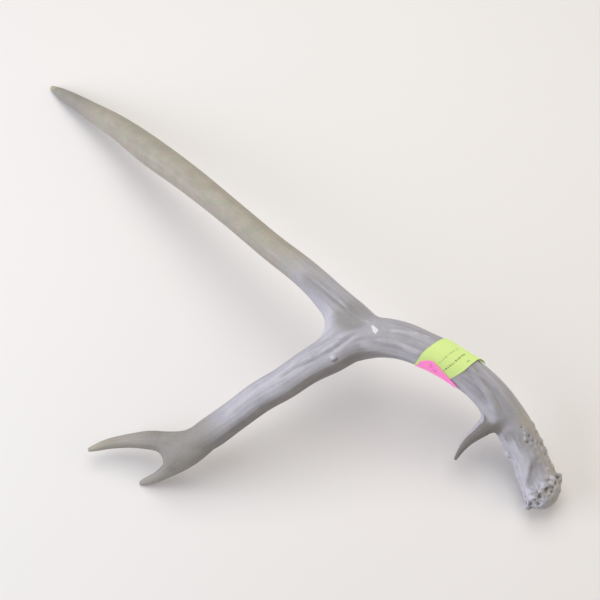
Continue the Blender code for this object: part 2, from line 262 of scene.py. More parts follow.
BEAM_STROKES = [
    # furrows and ridges that run out from under the label down to the brow tine's root
    ([(128, -106, 84), (136, -110, 82), (142, -115.5, 77), (147.5, -120.5, 72), (153, -127, 66),
      (159, -134, 60)], -0.7, 2.2),
    ([(134, -103.5, 84), (141, -109, 81), (148, -117, 76), (154, -124, 69), (159, -131, 62),
      (164, -138, 56)], 0.6, 2.0),
    ([(134, -100, 84), (145.5, -109, 79), (154, -119, 73), (161, -127, 65), (166.5, -135, 58),
      (171, -142, 52)], -1.2, 2.4),
    ([(138, -98, 82), (149.5, -107, 77), (159, -116, 71), (167, -125, 64), (174, -131, 58),
      (180, -139, 52)], 0.85, 2.1),
    ([(144, -96, 78), (155, -105, 73), (166, -119, 66), (175, -125, 59), (182, -135, 53),
      (187, -143, 47)], -1.0, 2.2),
    ([(150, -94, 74), (160, -102, 70), (171, -115, 64), (180, -125, 57), (188, -135, 49)], 0.55, 2.0),
    # groove beside the smooth patch above the burr, with a raised lip to its left
    ([(188.9, -165, 37.6), (188.5, -169.8, 35.4), (187.4, -174.3, 32.6), (186.3, -178.6, 29.6),
      (185.8, -182.4, 26.5), (185.6, -186, 23.5)], -1.2, 2.0),
    ([(187.1, -164, 38.2), (186.2, -169.5, 35), (185, -173.3, 32), (184.3, -177, 29), (184, -182, 25)],
     0.45, 2.0),
    # a low shoulder on the inner edge, over the knob there
    ([(167.5, -148, 36), (169.4, -152.4, 34), (171.4, -156, 31.6), (173, -159.5, 29.5)], 1.3, 2.4),
    # shallow waves on the lit face of the low beam
    ([(176, -158, 36), (178.1, -162.9, 34.2), (181, -168, 31), (182, -174, 27)], -0.35, 2.2),
    ([(173.5, -150.5, 44.5), (179.5, -156.7, 41.8), (181.8, -160.6, 39.6), (184.4, -168, 35)], 0.3, 2.4),
    ([(178, -142, 52), (184, -149, 46.5), (190, -158, 41)], -0.35, 2.2),
]
# The flat sunk face of the web: centre, reach and depth
WEB_HOLLOW = ((51.5, -74, 98), 10.5, 1.7)

# Lone knobs: on the front branch beside the fork, below the brow tine, and on the coronet's far rim
LONE_KNOBS = [
    ((39, -104.3, 95), 2.3),
    ((172.6, -158, 30.7), 2.6),
    ((210.9, -171.9, 24.6), 2.9),
    ((211.6, -173.6, 22.8), 2.6),
    ((211.6, -175.3, 21), 2.6),
]

# Pearling on the low beam: distance from the burr, degrees from the top, radius
PEARLS = [
    (7, -14, 2.3), (9, 38, 2.2), (10, 66, 2.6), (12, -42, 2.0), (15, 12, 2.1), (16, 88, 2.4),
    (20, 60, 2.9), (22, 28, 2.2), (24, -88, 2.2), (26, 82, 2.3), (29, 48, 2.6), (31, 5, 1.9),
    (33, 70, 2.8), (35, -75, 2.7), (38, 36, 2.3), (40, 92, 2.3), (42, 58, 2.8), (46, 22, 1.9),
    (48, 76, 2.6), (52, 46, 2.3), (55, 66, 2.4), (60, 88, 1.9), (62, 40, 1.8), (18, 150, 2.4),
    (30, -140, 2.3), (36, 130, 2.2), (47, 160, 2.0), (23, -115, 2.3), (52, -160, 1.8),
]
# How high a pearl is for its radius, how round its crown is, how far it is drawn out along the beam,
# and how much a noise of a size in millimetres bends its outline
PEARL_HEIGHT = 0.36
PEARL_CROWN = 1.3
PEARL_STRETCH = 1.35
PEARL_WOBBLE = 0.3
WOBBLE_SIZE = 2.4
PEARLS_END = 75
LOW_BEAM_RADIUS = 14.3

# Small sharp bumps and pits of the rough patch below the brow tine: point, height and width
BUMPS = [
    ((182.7, -146.6, 48.2), 0.9, 1.2), ((182.8, -150.3, 46.3), 0.8, 1.3),
    ((187.7, -153.3, 43.5), 0.7, 1.5), ((191, -155, 41.5), 0.6, 1.6),
    ((196.8, -148.4, 38), 0.9, 1.7), ((200.2, -154.1, 33.5), 1.1, 2.0),
    ((205.4, -164.9, 29.2), 1.0, 1.9), ((193, -160, 39), 0.5, 1.6),
    ((184, -156.7, 42), 0.5, 1.6), ((186.3, -147.8, 45.8), -1.4, 1.4),
    ((185, -152.6, 45), -1.1, 1.2), ((189.5, -150.5, 43.6), -1.2, 1.3),
    ((193.5, -151.5, 40.8), -1.1, 1.2), ((179.5, -152, 46.5), -0.4, 1.2),
    ((198.5, -158.5, 35), -1.2, 1.3), ((195.5, -144, 42), -1.1, 1.3),
    ((180.5, -143, 51.5), -0.9, 1.1),
]
# Deep pits in the coronet, and nodules that catch the light
CORONET_MARKS = [
    ((184.6, -187, 19), -1.5, 1.4), ((188, -194, 21), -1.8, 1.6), ((194, -191, 30), -1.9, 1.7),
    ((199, -187, 32), -1.4, 1.4), ((204, -184, 31.5), -1.6, 1.4), ((208.5, -174.5, 28), -1.6, 1.6),
    ((197.6, -190.7, 28.8), -1.4, 1.5), ((193.5, -194.6, 23.6), -1.4, 1.5),
    ((203.5, -186.5, 30), -1.2, 1.4), ((190.5, -192.5, 27), -1.3, 1.2),
    ((201.5, -190, 29.5), -1.0, 1.2), ((206.5, -180, 31), -1.2, 1.3),
    ((189, -186, 31), 1.0, 1.8), ((193, -187, 34), 0.9, 1.7), ((203.5, -181, 33), 0.9, 1.7),
    ((186.5, -190, 25), 0.8, 1.6), ((199, -183.5, 34.5), 0.7, 1.6),
]
# The crust of the coronet: its middle and half width along the burr's axis and its reach from the
# burr's centre, then the size and height of its big and small nodules, and the size, depth and level
# of its pits
CRUST_MIDDLE = -1.6
CRUST_WIDTH = 5.6
CRUST_REACH = 30
BIG_NODULES = (4.8, 1.2)
SMALL_NODULES = (2.4, 0.35)
CRUST_PITS = (3.6, 1.3, 0.26)
CRUST_SOFTENING = 5
# The rougher skin of the low beam, up to ROUGH_END from the burr
ROUGH_NODULES = (4.2, 0.5)
ROUGH_PITS = (3.2, 0.65, 0.28)
ROUGH_SOFTENING = 3
ROUGH_END = 70
# Its four edges, along the beam in millimetres and round it in degrees: 1 where the patch starts and
# -1 where it ends, where that is, how far a noise of EDGE_SIZE shifts it, and the width it fades over
PATCH_ALONG = [(1, 12, 10, 14), (-1, 72, 26, 34)]
PATCH_ROUND = [(1, 20, 30, 34), (-1, 150, 40, 50)]
EDGE_SIZE = 9.0
# All round the lowest beam the skin is a little rough: how much, and where that fades from and to
FAINT_ROUGHNESS = 0.15
FAINT_END = (50, 20)
# A nodule's half width and the crack beside it, in shares of the nodules' size, and a pit's soft edge
NODULE_WIDTH = 0.62
CRACK_WIDTH = 0.22
CRACK_DEPTH = 0.4
PIT_EDGE = 0.22
# These pick other parts of a noise, so that no two patterns match
CELL_SPREAD = 17.3
PIT_SHIFT = 31.7
# A mark weaker than this isn't worked out
TRACE = 0.02

# The grain of the bone follows these lines: drawn out along them, and wrapped round a rod of this
# radius. It starts to show and is full where the next line is so many times as far, in radii
GRAIN_LINES = [BEAM + FRONT_BRANCH[2:] + UPPER_PRONG[2:], LONG_TINE, LOWER_PRONG, BROW_TINE]
GRAIN_STRETCH = 14
GRAIN_ROUND = 12
GRAIN_CLEAR = (1.25, 1.95)

# How the paint lies, each time by where that starts and where it is full. Warm paint: along the long tine,
# towards the end fork, which lies below FRONT_SIDE, and down to the burr, where the side that looks right
# is painted warmer as shade
WARM_TINE = (22, 127)
WARM_END = (-20, -90)
WARM_BURR = (112, 62)
WARM_BURR_SHARE = 0.62
FRONT_SIDE = -60
# Evener paint along the long tine and towards the end fork, and how much of the grain it hides
EVEN_TINE = (20, 65)
EVEN_END = (30, -60)
EVEN_END_SHARE = 0.6
HIDDEN_GRAIN = 0.72
# Ways that the skin may look: the direction, then how squarely it looks there where that starts to count
# and where it counts in full. These paint light and shade on the bone: the side that looks up and left is
# painted paler, as lit; the side that looks right is painted warmer, as shade; and the under sides and the
# brow tine's lower side are painted browner and darker, as shade
LIT_SIDE = ((-0.85, -0.3, 0.3), 0.3, 0.8)
WARM_SHADE_SIDE = ((1, 0, 0), -0.25, 0.65)
SHADED_UNDERSIDE = ((0.45, -0.8, -0.4), 0.22, 0.54)
SHADED_BROW_SIDE = ((0.62, -0.62, 0.45), -0.34, 0.0)
BROW_REACH = (14, 8)
# The painted shade on the under sides is browner between two edges along x; the last number is how much of
# it shows beyond each
UNDER_SHADE_LEFT = (-80, -25, 0.15)
UNDER_SHADE_RIGHT = (88, 43, 0.3)
# How pale the painted light on the lit side is, and how much of that warm and even paint take away
LIT_SIDE_SHARE = 0.8
PALE_LOST_WARM = 0.75
PALE_LOST_EVEN = 0.5
# Hollows are found by smoothing the skin finely and widely; more rounds give the round of the bone
HOLLOW_ROUNDS = (6, 24)
WIDE_HOLLOWS = 0.5
BONE_ROUNDS = 5
# Paler paint, and painted light: lines and spots on the skin, width and strength. Some are paint laid on
# thicker and paler; some are painted highlights on nodules and bumps, and painted light on the lit lower
# faces of the beam
PALE_AND_LIT_STROKES = [
    ([(38, -52, 97), (44.8, -62.1, 99.3), (53.7, -71, 99.7), (65, -78.5, 99.2)], 1.6, 0.5),
    ([(71, -92, 99), (77.1, -92.6, 97.8), (83.8, -92.9, 96.8), (89, -94, 95)], 2.0, 0.8),
    ([(90, -94.5, 95), (92.1, -96.2, 93.8), (99, -98.5, 92)], 2.2, 1.0),
    ([(81.6, -84.8, 99.4), (89.2, -85, 98.1), (96.8, -85.6, 96.6), (110.5, -88.2, 93.2)], 1.3, 0.5),
    ([(99, -85.2, 96.2), (100.5, -85.4, 95.8)], 1.0, 1.2),
    ([(106, -87, 94.5), (107.5, -87.4, 94)], 1.0, 1.2),
    ([(100, -97, 92.5), (110, -101, 89)], 1.6, 0.8),
    ([(53, -90.5, 100), (43, -98.5, 98), (36, -103, 96.5)], 1.8, 0.5),
    ([(131, -113, 74.5), (139, -120, 69), (146, -126, 63), (153, -131, 59), (158, -137, 54)], 4.5, 1.0),
    ([(184, -171, 33), (182.5, -176, 27), (181.5, -181, 21)], 3.5, 0.8),
    # painted highlights on nodules of the coronet and on a bump
    ([(189, -186, 31), (191, -187, 32.5)], 2.0, 0.9),
    ([(203.5, -181, 33), (205, -180, 33)], 2.0, 0.8),
    ([(182.7, -146.6, 48.2), (182.8, -150.3, 46.3)], 1.2, 0.7),
    # painted light on the lit lower faces of the beam
    ([(60, -94, 97), (73, -97.5, 94), (84, -98.6, 90), (95, -101.4, 87), (108, -106, 82)], 3.6, 1.0),
    ([(174, -160, 34), (179, -170, 29), (181, -179, 23)], 4.5, 0.9),
]
# The chip of white undercoat on the beam's shoulder, three corners on the skin, and the height over
# the floor that it fades in from
CHIP = ((66.0, -79.2, 100), (71.8, -85.0, 100.5), (68.2, -90.2, 100.2))
CHIP_BASE = 85
CHIP_RISE = 4
# Bare bone at the long tine's tip, where the paint has rubbed off: centre and reach. It ends this many
# reaches out
WORN_TIP = ((-212.5, 201.5, 6), 5.0)
WORN_EDGE = 1.5
# Dull thin paint, greyed by handling, and painted shade in the web's sunk face, along the long tine's root
# and on the end fork: patches by centre, reach and strength, which end DULL_EDGE reaches out, and strokes
# by points, width and strength, which grow over a share of their length
DULL_EDGE = 1.4
DULL_START = 0.3
DULL_AND_SHADE_PATCHES = [
    # painted shade in the web's sunk face
    ((53, -72, 98), 14.5, 0.8),
    ((166, -133, 59), 11, 0.4),
    ((182, -152, 45), 9, 0.5),
    ((172, -148, 46), 7, 0.6),
    # painted shade on the end fork
    ((-78, -155, 36), 42, 0.9),
    ((-108, -160, 18), 34, 0.6),
    ((-200, 188, 10), 48, 0.65),
]
DULL_AND_SHADE_STROKES = [
    # painted shade along the long tine's root into the web
    ([(11, -29.5, 93), (20.5, -40.5, 95), (29.5, -49.5, 97), (39, -59, 98), (51, -68, 99)], 7.5, 0.75),
    ([(190.3, -158, 40.5), (190.6, -163, 38.5), (190.2, -168.2, 36.4), (189.3, -173.6, 33.8),
      (188.3, -177.6, 31.5), (187.2, -181.6, 29.3)], 3.4, 0.85),
]
# The stickers: two facing edges of each sheet, by distance from the burr, degrees from the beam's
# top and height of the loose edge over the bone
STICKERS = {
    "green": (
        [(159, -100, 0), (159, -54, 0), (157.5, -24, 0), (152.5, 14, 0.1), (146, 54, 0.5),
         (139, 92, 0.8)],
        [(131, -100, 0), (129, -54, 0.1), (126.5, -24, 0.4), (124, 8, 1.1), (119.5, 42, 1.9),
         (110, 84, 1.6)],
    ),
    "pink": (
        [(157.5, -66, 0.1), (151, -48, 0.2), (141, -60, 0.3), (132, -70, 0.2), (121, -84, 0.3)],
        [(157.5, -134, 0), (150, -136, 0), (141, -138, 0), (132, -140, 0), (120, -140, 0)],
    ),
}
# How far each lies over the bone, how strongly a painted glow brightens it, and its rows of worn print: the
# place of a row across the sheet, its start and end along it, and its strength
SHEET_GAP = {"green": 0.12, "pink": 0.42}
PAINTED_GLOW = {"green": 0.08, "pink": 0.25}
PRINT_ROWS = {
    "green": [(14.2, 13.5, 34, 0.5), (21.1, 9.6, 32.7, 1.0), (27.1, 26, 29.5, 0.8)],
    "pink": [(1.9, 7.8, 9.8, 1.0), (3.8, 8.6, 10.4, 0.9), (4.8, 12.0, 16.4, 1.0)],
}
SHEET_ROWS = 64
SHEET_COLUMNS = 36
# A sheet is laid down from this far over the beam's middle line, then pulled taut in steps
LAID_FROM = 40
TAUT_STEPS = 60
# Degrees from which an edge of the paper stays sharp
SHARP_ANGLE = 40
# On the paper, in millimetres: its thickness, its fibres and the bars of print with their soft edge.
# WEAR_SCALE is how many worn patches there are to a millimetre
PAPER_THICKNESS = 0.14
FIBRE_SIZE = 0.7
FIBRE_HEIGHT = 0.03
BAR_PITCH = 0.95
BAR_WIDTH = 1.1
BAR_HEIGHT = 1.5
BAR_BLUR = 0.1
WEAR_SCALE = 0.42

# The camera: where it stands and looks, in stations, its lens and its sensor
CAMERA_PLACE = (14.5, -398.8, 825.5)
CAMERA_TARGET = (14.5, -32.5, 40)
CAMERA_LENS = 65
CAMERA_SENSOR = 36
# Soft lights that look at the middle of the antler: place and size in metres, power and colour
LIGHTS = {
    "window_light": ((-1.2, -0.3, 0.66), 1.1, 11.3, "#EBEDFF"),
    "overhead_light": ((0.0, 0.42, 1.3), 1.1, 9.8, "#FFFDF8"),
    "side_light": ((1.2, -0.25, 0.8), 1.0, 3.6, "#FFF2E0"),
}
LIGHT_TARGET = Vector((0, 0, 0.04))
SKY_COLOUR = "#FFFDFA"
SKY_STRENGTH = 0.30
FLOOR_SIZE = 6.0


# A place on a branch's middle line, or such places in columns, one for each point of the skin
Place = namedtuple("Place", "distance point radius up side")


def srgb(hex_colour):
    """A linear colour with full alpha from a hex colour as a screen shows it."""
    parts = [int(hex_colour[place:place + 2], 16) / 255 for place in (1, 3, 5)]
    linear = [part / 12.92 if part <= 0.04045 else ((part + 0.055) / 1.055) ** 2.4 for part in parts]
    return (*linear, 1.0)


def placed(point):
    """A station or stroke point, in millimetres, as a place on the finished part in metres."""
    return (Vector(point[:3]) - MIDDLE) * MM


def ease(value):
    """A rise from nought to one that is gentle at both ends."""
    value = np.clip(value, 0.0, 1.0)
    return value * value * (3 - 2 * value)


def rise(value, start, full):
    """Nought at the start and one where it is full, whichever of them is the greater."""
    return ease((value - start) / (full - start))


def catmull_rom(before, start, end, after, t):
    """The point at t, from nought at the start to one at the end, of a smooth curve through them all."""
    straight = (end - before) * t
    second = (2 * before - 5 * start + 4 * end - after) * t ** 2
    third = (3 * start - before - 3 * end + after) * t ** 3
    return (2 * start + straight + second + third) / 2


def smooth_path(stations, step):
    """Points and radii, in metres, on the smooth curve through the stations."""
    rows = [Vector(row) for row in stations]
    rows = [2 * rows[0] - rows[1], *rows, 2 * rows[-1] - rows[-2]]
    path = []
    for before, start, end, after in zip(rows, rows[1:], rows[2:], rows[3:]):
        steps = max(1, round((end.xyz - start.xyz).length / step))
        for index in range(steps):
            path.append(catmull_rom(before, start, end, after, index / steps))
    path.append(rows[-2])
    return [(placed(row), row.w / 2 * MM) for row in path]


def places_along(stations):
    """Places on a branch's middle line, in metres, with the ways up and to the side of it there."""
    path = smooth_path(stations, GUIDE_STEP)
    places = []
    distance = 0.0
    for index, (point, radius) in enumerate(path):
        ahead = path[min(index + 1, len(path) - 1)][0]
        behind = path[max(index - 1, 0)][0]
        along = (ahead - behind).normalized()
        up = (Vector((0, 0, 1)) - along * along.z).normalized()
        distance += (point - behind).length
        places.append(Place(distance, point, radius, up, up.cross(along)))
    return places


def place_at(places, distance):
    """The place at a distance from a branch's start, between the two nearest ones."""
    after = next((index for index, place in enumerate(places) if place.distance > distance), 1)
    after = max(1, after)
    start, end = places[after - 1], places[after]
    share = (distance - start.distance) / (end.distance - start.distance)
    return Place(*(one + (other - one) * share for one, other in zip(start, end)))


def out_of(place, degrees):
    """The direction out of the bone at an angle from its top; positive is the outer curve's side."""
    angle = math.radians(degrees)
    return place.up * math.cos(angle) - place.side * math.sin(angle)


def deselect():
    bpy.ops.object.select_all(action="DESELECT")


def select_only(items):
    """Selects these objects alone and makes the first one active."""
    deselect()
    for item in items:
        item.select_set(True)
    bpy.context.view_layer.objects.active = items[0]


def new_object(name, data):
    item = bpy.data.objects.new(name, data)
    bpy.context.scene.collection.objects.link(item)
    return item


def apply_modifier(item, kind, **settings):
    """Adds a modifier with its settings and applies it."""
    modifier = item.modifiers.new(kind.lower(), kind)
    for name, value in settings.items():
        setattr(modifier, name, value)
    select_only([item])
    bpy.ops.object.modifier_apply(modifier=modifier.name)


def edit_all(item, operator, **settings):
    """Runs one mesh operator with its settings on an object's whole mesh, in edit mode."""
    select_only([item])
    bpy.ops.object.mode_set(mode="EDIT")
    bpy.ops.mesh.select_all(action="SELECT")
    operator(**settings)
    bpy.ops.object.mode_set(mode="OBJECT")


def branch_tube(name, stations):
    """A tapering round branch: a guide curve through its stations with a round bevel, made a mesh."""
    path = smooth_path(stations, TUBE_STEP)
    curve = bpy.data.curves.new(name, "CURVE")
    curve.dimensions = "3D"
    curve.bevel_depth = 1.0
    curve.bevel_resolution = 8
    curve.use_fill_caps = True
    spline = curve.splines.new("POLY")
    spline.points.add(len(path) - 1)
    for point, (place, radius) in zip(spline.points, path):
        point.co = (*place, 1.0)
        point.radius = radius
    tube = new_object(name, curve)
    select_only([tube])
    bpy.ops.object.convert(target="MESH")
    edit_all(tube, bpy.ops.mesh.remove_doubles, threshold=WELD * MM)
    return tube


def lump(place, radii, turn=Matrix.Identity(4)):
    """A rounded lump of bone, to be grown into the skin."""
    bpy.ops.mesh.primitive_uv_sphere_add(
        segments=20, ring_count=12, radius=1.0, location=place, rotation=turn.to_euler(), scale=radii
    )
    return bpy.context.object


def burr_turn():
    """The turn that carries +Z onto the burr's axis, which points up the beam."""
    return BURR_AXIS.to_track_quat("Z", "Y").to_matrix().to_4x4()


def coronet_lumps():
    """The ring of unlike knobs round the foot of the beam."""
    rng = random.Random(KNOB_SEED)
    lumps = []
    for index in range(CORONET_KNOBS):
        angle = math.tau / CORONET_KNOBS * (index + rng.uniform(-KNOB_SHIFT, KNOB_SHIFT))
        radius = rng.uniform(*KNOB_RADIUS) * MM
        out = Vector((math.cos(angle), math.sin(angle), 0)) * CORONET_RADIUS
        out.z = rng.uniform(*KNOB_LIFT)
        place = placed(BURR_CENTRE + burr_turn().to_3x3() @ out)
        lumps.append(lump(place, [radius] * 3))
    return lumps


def seal_lump():
    """The rounded foot of the antler, a dome that looks away from the beam."""
    centre = placed(BURR_CENTRE + BURR_AXIS * (SEAL_DEPTH - SEAL_BULGE))
    return lump(centre, (SEAL_RADIUS * MM, SEAL_RADIUS * MM, SEAL_DEPTH * MM), burr_turn())


class Skin:
    """The antler's skin as arrays, for moving its points like clay."""

    def __init__(self, mesh):
        self.mesh = mesh
        self.count = len(mesh.vertices)
        pairs = np.empty(len(mesh.edges) * 2, dtype=np.int64)
        mesh.edges.foreach_get("vertices", pairs)
        self.starts, self.ends = pairs.reshape(-1, 2).T
        self.neighbours = np.bincount(pairs, minlength=self.count)
        self.read()

    def read(self):
        """Takes the points and their normals from the mesh."""
        points = np.empty(self.count * 3)
        self.mesh.vertices.foreach_get("co", points)
        self.points = points.reshape(-1, 3)
        normals = np.empty(self.count * 3)
        self.mesh.vertex_normals.foreach_get("vector", normals)
        self.normals = normals.reshape(-1, 3)

    def write(self):
        """Gives the moved points to the mesh, and takes the new normals from it."""
        self.mesh.vertices.foreach_set("co", self.points.ravel())
        self.mesh.update()
        self.read()

    def push(self, height):
        """Moves every point out along its normal by its own height, in metres."""
        self.points = self.points + self.normals * height[:, None]

    def distance_to(self, centre):
        """Each point's distance from a station, in millimetres."""
        return np.linalg.norm(self.points - np.array(placed(centre)), axis=1) / MM

    def distance_to_line(self, corners):
        """Each point's distance in millimetres from a line through stations, and its share along it."""
        corners = np.array([placed(corner) for corner in corners])
        lengths = np.linalg.norm(np.diff(corners, axis=0), axis=1)
        nearest = np.full(self.count, np.inf)
        along = np.zeros(self.count)
        for index, (start, end) in enumerate(zip(corners, corners[1:])):
            line = end - start
            share = np.clip((self.points - start) @ line / (line @ line), 0, 1)
            gap = np.linalg.norm(self.points - (start + share[:, None] * line), axis=1)
            closer = gap < nearest
            nearest[closer] = gap[closer]
            along[closer] = lengths[:index].sum() + share[closer] * lengths[index]
        return nearest / MM, along / lengths.sum()

    def softened(self, values, rounds):
        """The points' values, or their places, after each has taken its neighbours' mean several times."""
        columns = np.atleast_2d(values.T)
        for _round in range(rounds):
            columns = [
                (np.bincount(self.starts, column[self.ends], self.count)
                 + np.bincount(self.ends, column[self.starts], self.count)) / self.neighbours
                for column in columns
            ]
        return np.array(columns).T.reshape(values.shape)

    def soft_noise(self, where, size):
        """A soft noise of a size in millimetres on the points where it is wanted, and nought elsewhere."""
        values = np.zeros(self.count)
        values[where] = [noise.noise(point) for point in self.points[where] / MM / size]
        return values

    def facing(self, side):
        """How far each point looks to a side, from nought to one."""
        way, start, full = side
        return rise(self.normals @ np.array(way), start, full)


def nearest_places(skin, stations):
    """For each point of the skin: the nearest place along a branch, and the way out from it."""
    places = places_along(stations)
    tree = KDTree(len(places))
    for index, place in enumerate(places):
        tree.insert(place.point, index)
    tree.balance()
    nearest = np.array([tree.find(point)[1] for point in skin.points])
    nearest_place = Place(*(np.array(column)[nearest] for column in zip(*places)))
    return nearest_place, skin.points - nearest_place.point


def beside_beam(skin):
    """For each point of the skin: millimetres along the beam, radii out of it and degrees round it."""
    place, out = nearest_places(skin, BEAM)
    degrees = np.degrees(np.arctan2(-(out * place.side).sum(1), (out * place.up).sum(1)))
    return place.distance / MM, np.linalg.norm(out, axis=1) / place.radius, degrees


def degrees_apart(degrees, middle):
    return np.abs((degrees - middle + 180) % 360 - 180)


def carve_furrows(skin):
    """Long shallow furrows along the beam that turn slowly round it."""
    along, out, degrees = beside_beam(skin)
    fade = rise(along, *FURROW_START) * rise(along, *FURROW_END)
    turned = degrees + FURROW_TWIST * (along - FURROW_MIDDLE)
    depth = np.zeros(skin.count)
    for middle, width, deepest in FURROWS:
        apart = degrees_apart(turned, middle)
        depth = np.maximum(depth, deepest * np.exp(-((apart / width) ** 2)))
    depth[out > FURROW_REACH] = 0.0
    skin.push(-depth * fade * MM)
    skin.write()


def sink_web(skin):
    """The web between the branches has a flat sunk face."""
    centre, reach, depth = WEB_HOLLOW
    gap = skin.distance_to(centre)
    skin.push(-depth * MM * np.exp(-((gap / reach) ** 4)))
    skin.write()


def draw_strokes(skin, strokes):
    """Ridges and grooves that rise from nothing and run out at their ends."""
    for corners, height, width in strokes:
        gap, share = skin.distance_to_line(corners)
        fade = ease(share / STROKE_FADE) * ease((1 - share) / STROKE_FADE)
        skin.push(height * MM * fade * np.exp(-((gap / width) ** 2)))
        skin.write()


def press_marks(skin, marks):
    """Round bumps and pits at single points."""
    for centre, height, width in marks:
        skin.push(height * MM * np.exp(-((skin.distance_to(centre) / width) ** 2)))
    skin.write()


def grow_pearls(skin):
    """Long low knobs on the beam above the burr, none of them quite round."""
    along, out, degrees = beside_beam(skin)
    wobble = PEARL_WOBBLE * skin.soft_noise((along < PEARLS_END) & (out < BEAM_REACH), WOBBLE_SIZE)
    height = np.zeros(skin.count)
    for distance, middle, radius in PEARLS:
        apart = np.radians(degrees_apart(degrees, middle)) * LOW_BEAM_RADIUS
        gap = np.hypot((along - distance) / PEARL_STRETCH, apart) / radius + wobble
        crown = np.clip(1 - gap ** 2, 0, 1) ** PEARL_CROWN
        height = np.maximum(height, PEARL_HEIGHT * radius * crown)
    height[out > BEAM_REACH] = 0.0
    skin.push(height * MM)
    skin.write()


def nodules(points, size, height):
    """Rounded cells of unlike heights, with a crack between each two."""
    heights = np.empty(len(points))
    for index, point in enumerate(points / MM / size):
        distances, centres = noise.voronoi(point)
        big = 0.5 + 0.5 * noise.cell(centres[0] * CELL_SPREAD)
        crack = math.exp(-(((distances[1] - distances[0]) / CRACK_WIDTH) ** 2))
        heights[index] = big * (1 - (distances[0] / NODULE_WIDTH) ** 2) - CRACK_DEPTH * crack
    return heights * height


def pits(points, size, depth, level):
    """Holes of uneven outline, where a noise rises over a level."""
    height = np.array([noise.noise(point) for point in points / MM / size + PIT_SHIFT])
    return -depth * ease((height - level) / PIT_EDGE)


def crust_coronet(skin):
    """The crumbly nodules and pits of the coronet."""
    out = (skin.points - np.array(placed(BURR_CENTRE))) / MM
    up = out @ np.array(BURR_AXIS)
    band = np.exp(-(np.abs((up - CRUST_MIDDLE) / CRUST_WIDTH) ** 4))
    near = (band > TRACE) & (np.linalg.norm(out, axis=1) < CRUST_REACH)
    points = skin.points[near]
    height = np.zeros(skin.count)
    height[near] = band[near] * (
        nodules(points, *BIG_NODULES) + nodules(points, *SMALL_NODULES) + pits(points, *CRUST_PITS)
    )
    skin.push(skin.softened(height, CRUST_SOFTENING) * MM)
    skin.write()


def roughen_beam(skin):
    """The rougher skin of the low beam, in a patch with wandering edges."""
    along, out, degrees = beside_beam(skin)
    low = along < ROUGH_END
    uneven = skin.soft_noise(low, EDGE_SIZE)
    patch = np.ones(skin.count)
    for values, edges in ((along, PATCH_ALONG), (degrees, PATCH_ROUND)):
        for way, edge, shift, width in edges:
            patch *= ease((way * (values - edge) + shift * uneven) / width)
    patch = np.maximum(patch, FAINT_ROUGHNESS * rise(along, *FAINT_END))
    near = (patch > TRACE) & low & (out < BEAM_REACH)
    points = skin.points[near]
    height = np.zeros(skin.count)
    height[near] = patch[near] * (nodules(points, *ROUGH_NODULES) + pits(points, *ROUGH_PITS))
    skin.push(skin.softened(height, ROUGH_SOFTENING) * MM)
    skin.write()


def ease_forks(item):
    """Fillets the crotches, where the branches run into each other, and lightly the rest."""
    skin = Skin(item.data)
    weight = np.zeros(skin.count)
    for centre, reach, strength in EASED_FORKS:
        # full within half of the reach
        near = 2 * (1 - skin.distance_to(centre) / reach)
        weight = np.maximum(weight, strength * np.clip(near, 0, 1))
    group = item.vertex_groups.new(name="forks")
    for index in np.nonzero(weight)[0]:
        group.add([int(index)], float(weight[index]), "REPLACE")
    apply_modifier(item, "SMOOTH", vertex_group="forks", factor=EASE_FACTOR, iterations=EASE_STEPS)
    factor, steps = LIGHT_EASE
    apply_modifier(item, "SMOOTH", factor=factor, iterations=steps)
    item.vertex_groups.clear()
    skin = Skin(item.data)
    skin.push(EASE_SWELL * MM * weight)
    skin.write()


def rest_flat(item):
    """The three places that touch the floor are worn flat on it."""
    edit_all(
        item, bpy.ops.mesh.bisect, plane_co=(0, 0, 0), plane_no=(0, 0, 1), clear_inner=True,
        use_fill=True, threshold=0.001 * MM,
    )


def colour_property(name, description, hex_colour):
    """One colour that a user may change, with its default as a screen shows it."""
    return bpy.props.FloatVectorProperty(
        name=name, description=description, subtype="COLOR", size=4, min=0, max=1,
        default=srgb(hex_colour),
    )


class AntlerColours(bpy.types.PropertyGroup):
    """The colours of the antler, its stickers and the floor."""

    paint: colour_property("Paint", "Lavender grey paint on the bone", "#B1B0B8")
    # also the painted warm shade on the low beam's side that looks right
    thin_paint_and_shade: colour_property("Thin paint", "Paint that lies thin, so that the bone warms it", "#ADA598")
    green_thin_paint: colour_property(
        "Greenish thin paint", "The greenish clouds in the thin paint", "#A7A595"
    )
    # also painted light on the side that looks up and left, and painted highlights
    pale_paint_and_light: colour_property("Pale paint", "Thicker paint on the ridges and in streaks", "#CFCED6")
    # painted shade: the darker brown of the under sides
    under_shade_brown: colour_property("Brown bone", "The under side, where the bone shows through", "#78736B")
    # also painted shade in the web, on the end fork and on the brow tine's lower side
    dull_paint_and_shade: colour_property(
        "Dull paint", "Thin greyed paint in the crotches and at the tips", "#8E8B88"
    )
    dirt: colour_property("Dirt", "Dirt in the pits and furrows", "#5E554A")
    bare_bone: colour_property("Bare bone", "Bone where the paint has rubbed off", "#B9B491")
    undercoat: colour_property("Undercoat", "The white chip", "#E9E8EE")
    green_paper: colour_property("Green paper", "The lime-green sticker", "#DDF79A")
    green_ink: colour_property("Green ink", "Faded print on the green sticker", "#5F7A3C")
    pink_paper: colour_property("Pink paper", "The pink sticker", "#FF8CD0")
    pink_ink: colour_property("Pink ink", "Faded print on the pink sticker", "#7E2A55")
    floor: colour_property("Floor", "Plain pale floor under the antler", "#F2F0EE")


